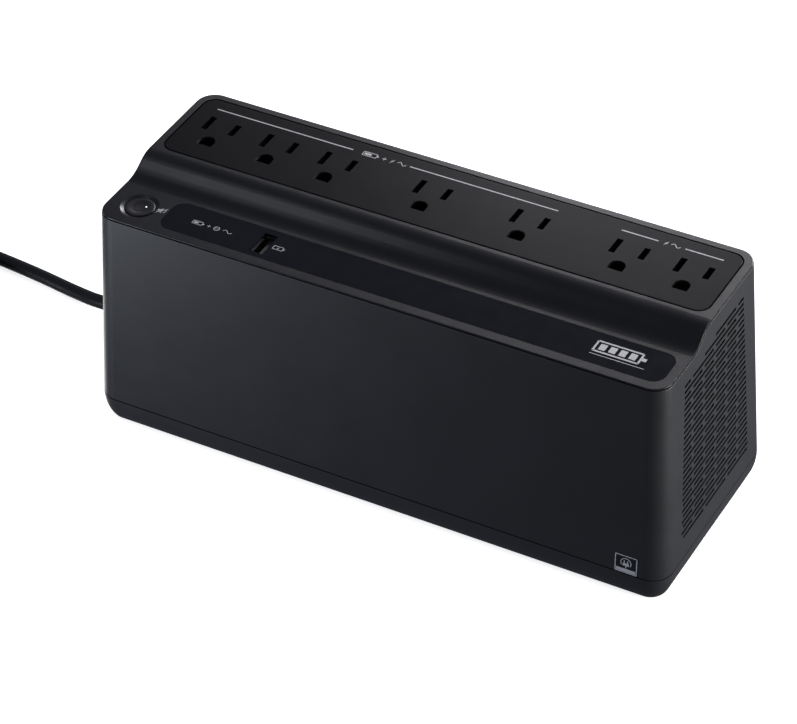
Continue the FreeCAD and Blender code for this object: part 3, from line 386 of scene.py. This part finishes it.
def ink():
    """White printing ink, slightly broken up by the grain under it."""
    if not INK:
        f = Finish("white_ink")
        patchy = f.span(f.noise(0.45, 2.0), 0.30, 0.62, 0.0, 1.0)
        tone = f.blend(patchy, (0.50, 0.50, 0.51), (0.72, 0.72, 0.73))
        rough = f.span(f.noise(1.2, 2.0), 0.3, 0.7, 0.42, 0.55)
        INK.append(f.use(tone, rough, f.bump(f.noise(0.4, 2.0), 0.006)))
    return INK[0]


def cad_finishes():
    charcoal = (0.0150, 0.0160, 0.0180)
    return {
        # the case plastic carries painted shade in its vent slots and parting gaps
        "case_plastic": moulded("case_plastic", charcoal, 0.44, wear=0.08, painted_shade_reach=2.5),
        "cover_plastic": moulded("cover_plastic", (0.0115, 0.0118, 0.0130), 0.29, grain=0.6, depth=0.028,
                                 dull_edges=0.5),
        "base_plastic": moulded("base_plastic", (0.0160, 0.0166, 0.0190), 0.50, wear=0.4),
        "panel_plastic": moulded("panel_plastic", (0.0062, 0.0062, 0.0065), 0.34, grain=0.6, depth=0.035,
                                 wear=0.1, Specular_IOR_Level=0.075),
        "gloss_inlay": moulded("gloss_inlay", (0.0045, 0.0056, 0.0082), 0.14, depth=0.001, uneven=0.05,
                               Specular_IOR_Level=0.34),
        "button_plastic": moulded("button_plastic", (0.0080, 0.0080, 0.0085), 0.34, depth=0.004),
        "clear_guide": moulded("clear_guide", (0.060, 0.062, 0.066), 0.35, uneven=0.08, depth=0.002),
        "switch_plastic": moulded("switch_plastic", (0.03, 0.03, 0.03), 0.45),
        "switch_metal": metal("switch_metal", (0.60, 0.60, 0.60), 0.30),
        "led_body": moulded("led_body", (0.80, 0.80, 0.74), 0.25, uneven=0.05, depth=0.002, Coat_Weight=0.5),
        "plated_shell": metal("plated_shell", (0.70, 0.70, 0.70), 0.22),
        "usb_plastic": moulded("usb_plastic", (0.012, 0.012, 0.012), 0.42, depth=0.004),
        "contact_brass": metal("contact_brass", (0.62, 0.45, 0.20), 0.28),
        "circuit_board": board("circuit_board"),
        "chip_plastic": moulded("chip_plastic", (0.018, 0.018, 0.018), 0.55, grain=0.2),
        "steel_screw": metal("steel_screw", (0.55, 0.55, 0.57), 0.32, (1, 1, 4)),
        "block_plastic": moulded("block_plastic", (0.03, 0.17, 0.08), 0.42),
        "relay_plastic": moulded("relay_plastic", (0.02, 0.06, 0.28), 0.35),
        "capacitor_sleeve": moulded("capacitor_sleeve", (0.02, 0.02, 0.035), 0.25, depth=0.003),
        "varistor_coat": moulded("varistor_coat", (0.04, 0.10, 0.38), 0.30, uneven=0.2),
        "ferrite": ridged("ferrite", (0.10, 0.03, 0.01), (0.50, 0.17, 0.06), 1.1, "X", 0.3, 0.35, 1.5),
        "heat_sink_aluminium": metal("heat_sink_aluminium", (0.60, 0.60, 0.61), 0.36),
        "fuse_plastic": moulded("fuse_plastic", (0.60, 0.38, 0.04), 0.25, depth=0.002),
        "carrier_plastic": moulded("carrier_plastic", (0.012, 0.012, 0.012), 0.5),
        "core_steel": ridged("core_steel", (0.07, 0.07, 0.08), (0.24, 0.24, 0.26), 0.9, "X", 0.08, 0.45,
                             Metallic=0.7),
        "winding_copper": ridged("winding_copper", (0.22, 0.12, 0.03), (0.55, 0.34, 0.08), 1.2, "Z", 0.25,
                                 0.4),
        "bobbin_plastic": moulded("bobbin_plastic", (0.58, 0.55, 0.46), 0.5),
        "bracket_steel": metal("bracket_steel", (0.50, 0.50, 0.52), 0.38),
        "battery_case": moulded("battery_case", (0.055, 0.057, 0.064), 0.5, grain=0.6, wear=0.3),
        "connector_sleeve": moulded("connector_sleeve", (0.58, 0.58, 0.55), 0.45),
        "lead_red": moulded("lead_red", (0.42, 0.02, 0.02), 0.35, depth=0.004),
        "lead_black": moulded("lead_black", (0.015, 0.015, 0.015), 0.35, depth=0.004),
        "lead_white": moulded("lead_white", (0.58, 0.58, 0.56), 0.35, depth=0.004),
        "breaker_plastic": moulded("breaker_plastic", (0.02, 0.02, 0.02), 0.45),
        "nut_plastic": moulded("nut_plastic", (0.022, 0.022, 0.022), 0.42, wear=0.4, wear_radius=0.3),
        "reset_plastic": moulded("reset_plastic", (0.012, 0.012, 0.012), 0.25, depth=0.003, wear=0.3),
        "foot_rubber": moulded("foot_rubber", (0.022, 0.022, 0.022), 0.75, grain=0.8, depth=0.03),
        "label_film": moulded("label_film", (0.006, 0.006, 0.007), 0.30, depth=0.001, uneven=0.05),
        "cord_rubber": moulded("cord_rubber", (0.008, 0.008, 0.009), 0.38, depth=0.006, wear=0.25),
        "cord_jacket": moulded("cord_jacket", (0.0065, 0.0068, 0.0075), 0.27, grain=1.4, depth=0.010),
        "tie_plastic": moulded("tie_plastic", (0.02, 0.02, 0.02), 0.55, grain=0.5, depth=0.05),
        "plug_metal": metal("plug_metal", (0.66, 0.62, 0.52), 0.25),
    }


# ---------------------------------------------------------------- cord
CORD_D = 6.4
CORD_RUN = [
    (-159.836, 12.046, 8.210),
    (-172.504, 13.154, 5.507),
    (-189.0, 16.8, 3.2),
    (-211.0, 20.2, 3.2),
    (-233.5, 22.4, 3.2),
    (-256.0, 24.2, 3.2),
]
COIL_CENTRE = (-278.0, -16.5)
COIL_RADIUS = 38.2
COIL_TURNS = 5.25
TURN_POINTS = 16
TAIL = [(-322.6, -30.0, 9.6), (-322.6, -46.5, 9.6)]


def eased(t):
    t = min(max(t, 0.0), 1.0)
    return t * t * (3 - 2 * t)


def coil_point(turn):
    """A point on the wound cord: three turns inwards on the floor, then back out on top of them."""
    step_in = eased((turn - 0.75) * 4) + eased((turn - 1.75) * 4)
    step_out = eased((turn - 3.25) * 4) + eased((turn - 4.25) * 4)
    radius = COIL_RADIUS + CORD_D * (1 - step_in + step_out)
    radius /= math.cos(math.pi / TURN_POINTS)
    height = CORD_D / 2 + CORD_D * eased((turn - 2.5) * 4)
    over_tie = 0.8 * eased(1 - abs(turn % 1 - 0.5) * 8)
    angle = math.radians(90 + 360 * turn)
    return (
        COIL_CENTRE[0] + radius * math.cos(angle),
        COIL_CENTRE[1] + radius * math.sin(angle),
        height + over_tie,
    )


def lay_cord(jacket):
    """The supply cord as one smooth curve: along the floor, wound up, and out to its plug."""
    points = list(CORD_RUN)
    for k in range(int(COIL_TURNS * TURN_POINTS) + 1):
        points.append(coil_point(k / TURN_POINTS))
    points += TAIL
    data = bpy.data.curves.new("supply_cord", "CURVE")
    data.dimensions = "3D"
    data.bevel_depth = CORD_D / 2 * MM
    data.bevel_resolution = 6
    data.resolution_u = 6
    spline = data.splines.new("NURBS")
    spline.points.add(len(points) - 1)
    for point, place in zip(spline.points, points):
        point.co = (*(Vector(place) * MM), 1)
    spline.order_u = 3
    spline.use_endpoint_u = True
    spline.use_smooth = True
    data.materials.append(jacket)
    cord = bpy.data.objects.new("supply_cord", data)
    scene.collection.objects.link(cord)
    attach(cord, "housing")
    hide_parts("power_cord", "cord_coil", "cord_tail")


# ---------------------------------------------------------------- printed marks
def battery_mark(x, y, width, height, line):
    nub = height * 0.30
    shapes = strokes([(x, y), (x + width, y), (x + width, y + height), (x, y + height)], line, True)
    shapes.append(rectangle(x + width + line * 0.6, y + height / 2 - nub / 2,
                            x + width + line * 0.6 + nub, y + height / 2 + nub / 2))
    return shapes


def bolt_mark(x, y, height, lean=0.28):
    """A small lightning bolt, as two outlines that meet in the middle."""
    w = height * lean
    upper = [(x + w * 0.9, y + height), (x - w * 0.9, y + height * 0.42), (x + w * 0.1, y + height * 0.42)]
    lower = [(x - w * 0.9, y), (x + w * 0.9, y + height * 0.58), (x - w * 0.1, y + height * 0.58)]
    return [upper, lower]


def plus_mark(x, y, size, line):
    half = size / 2
    return [stroke(x - half, y, x + half, y, line), stroke(x, y - half, x, y + half, line)]


def wave_mark(x, y, width, height, line):
    points = [(x + width * k / 12, y + height * math.sin(2 * math.pi * k / 12)) for k in range(13)]
    return strokes(points, line)


def plug_mark(x, y, size, line):
    """A two-blade plug seen from the front, in a ring."""
    shapes = arc(x, y, size / 2, line, 0, 360, 20)
    for side in (-1, 1):
        blade_x = x + side * size * 0.18
        shapes.append(stroke(blade_x, y - size * 0.14, blade_x, y + size * 0.18, line))
    return shapes


def print_marks():
    deck = (0, 0, DECK_Z)
    line_y = 35.4
    backup = [
        stroke(-118.8, line_y, -52.2, line_y, 0.6),
        stroke(-25.0, line_y, 44.2, line_y, 0.6),
        rectangle(-46.6, line_y - 0.7, -43.4, line_y + 0.7),
        *battery_mark(-47.3, line_y - 1.3, 6.4, 2.6, 0.34),
        *plus_mark(-37.2, line_y, 1.9, 0.36),
        *bolt_mark(-33.4, line_y - 1.5, 3.0),
        *wave_mark(-31.0, line_y, 4.2, 0.95, 0.36),
    ]
    printed("backup_group_print", backup, deck)
    surge = [
        stroke(73.2, line_y, 89.7, line_y, 0.6),
        stroke(101.7, line_y, 118.7, line_y, 0.6),
        *bolt_mark(93.2, line_y - 1.5, 3.0),
        *wave_mark(95.4, line_y, 4.2, 0.95, 0.36),
    ]
    printed("surge_group_print", surge, deck)

    shelf = (0, 0, SHELF_Z)
    mute = [
        rectangle(-108.3, -32.1, -107.4, -30.9),
        [(-107.5, -32.1), (-106.2, -33.2), (-106.2, -29.8), (-107.5, -30.9)],
        *arc(-106.2, -31.5, 1.5, 0.28, -48, 48, 5),
        stroke(-108.2, -33.3, -104.4, -29.6, 0.34),
    ]
    printed("mute_print", mute, shelf)
    model_plate = [
        *battery_mark(-91.0, -32.9, 4.6, 2.0, 0.28),
        rectangle(-90.4, -32.4, -88.4, -31.4),
        *plus_mark(-83.4, -31.9, 1.5, 0.30),
        *plug_mark(-79.6, -31.9, 2.5, 0.28),
        *wave_mark(-76.6, -31.9, 4.2, 0.8, 0.30),
    ]
    printed("shelf_icon_print", model_plate, shelf)
    charge = [
        *battery_mark(-52.4, -33.2, 4.4, 2.2, 0.28),
        *bolt_mark(-50.2, -33.0, 1.8),
    ]
    printed("charge_print", charge, shelf)
    emblem = [
        *battery_mark(93.4, -33.6, 19.6, 6.4, 0.85),
        *[rectangle(95.1 + 4.4 * k, -32.3, 98.0 + 4.4 * k, -28.5) for k in range(4)],
        stroke(93.0, -35.6, 116.6, -35.6, 0.30),
    ]
    printed("emblem_print", emblem, shelf)

    label_low, label_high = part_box("front_label")
    middle = (label_low + label_high) / 2 / MM
    outward = Vector((0, -math.cos(DRAFT), math.sin(DRAFT)))
    origin = middle + outward * 0.075
    label = strokes([(-4.75, -4.25), (4.75, -4.25), (4.75, 4.25), (-4.75, 4.25)], 0.42, True)
    label += [
        rectangle(-4.3, -3.9, 4.3, -2.3),
        *arc(0, 0.7, 2.3, 0.36, -35, 215, 16),
        stroke(-0.75, 1.9, -0.75, 0.5, 0.42),
        stroke(0.75, 1.9, 0.75, 0.5, 0.42),
        rectangle(-1.4, -0.8, 1.4, 0.5),
        stroke(0.0, -0.8, 0.0, -2.0, 0.42),
    ]
    printed("label_print", label, origin, (0, math.sin(DRAFT), math.cos(DRAFT)))


# ---------------------------------------------------------------- lit window
WINDOW_ANGLE = math.radians(31.3)    # its place on the ring of windows, from +X
WINDOW_RING_R = 2.6
WINDOW_SUNK = 0.30                   # below the button's highest point
DOME_R = 0.42
DOME_RISE = 0.16


def lit_window():
    """The one light window of the power button that is lit, as a small glowing dome."""
    x = BUTTON_X + WINDOW_RING_R * math.cos(WINDOW_ANGLE)
    y = BUTTON_Y + WINDOW_RING_R * math.sin(WINDOW_ANGLE)
    z = BUTTON_HIGH.z / MM - WINDOW_SUNK
    verts, faces = [(x, y, z + DOME_RISE)], []
    rings, spokes = 3, 16
    for ring in range(1, rings + 1):
        t = ring / rings
        for k in range(spokes):
            a = 2 * math.pi * k / spokes
            rim = DOME_R * t
            verts.append((x + rim * math.cos(a), y + rim * math.sin(a), z + DOME_RISE * (1 - t * t)))
    for k in range(spokes):
        n = (k + 1) % spokes
        faces.append([0, 1 + k, 1 + n])
        for ring in range(rings - 1):
            a, b = 1 + ring * spokes, 1 + (ring + 1) * spokes
            faces.append([a + k, b + k, b + n, a + n])
    dome = add_mesh("lit_window", verts, faces, "power_button_body")
    f = Finish("lit_window")
    glow = f.blend(f.span(f.noise(0.3, 1.0), 0.3, 0.7, 0.0, 1.0), (0.86, 0.92, 1.0), (1.0, 1.0, 1.0))
    f.link(glow, f.shader.inputs["Emission Color"])
    f.set(Emission_Strength=2.2, Roughness=0.4)
    dome.data.materials.append(f.use(colour=glow))


# ---------------------------------------------------------------- floor
FLOOR_HALF = 6000
FLOOR_Z = -0.15
PAINTED_SHADOW_REACH = 3         # how far the painted contact shadow reaches on the floor beside what stands on it


def lay_floor():
    """A plain pale floor, which the object is lit without: it throws no light or reflection back, and the
    contact shadow in its glow is painted shade.
    """
    corners = rectangle(-FLOOR_HALF, -FLOOR_HALF, FLOOR_HALF, FLOOR_HALF)
    floor = add_mesh("floor", [(x, y, FLOOR_Z) for x, y in corners], [[0, 1, 2, 3]], None)
    f = Finish("floor")
    f.set(Roughness=0.8, Emission_Strength=1.0)
    # painted contact shadow: the floor's glow is dimmed where the object stands close above it
    painted_contact_shadow = f.tree.nodes.new("ShaderNodeAmbientOcclusion")
    painted_contact_shadow.samples = 8
    painted_contact_shadow.inputs["Distance"].default_value = PAINTED_SHADOW_REACH * MM
    glow = f.blend(painted_contact_shadow.outputs["AO"], (0.72, 0.72, 0.73), (0.98, 0.98, 0.98))
    f.link(glow, f.shader.inputs["Emission Color"])
    f.use(colour=f.blend(f.noise(600.0, 1.0), (0.78, 0.78, 0.78), (0.82, 0.82, 0.82)))
    floor.data.materials.append(f.material)
    floor.visible_glossy = False
    floor.visible_diffuse = False
    floor.visible_shadow = False


place_camera()
light_scene()
lay_floor()
finishes = cad_finishes()
for part in frame["record"]["subparts"]:
    for place in frame["nodes"][part["node"]].material_slots:
        place.material = finishes[part["material_slot"]]
lay_cord(finishes["cord_jacket"])
print_marks()
lit_window()
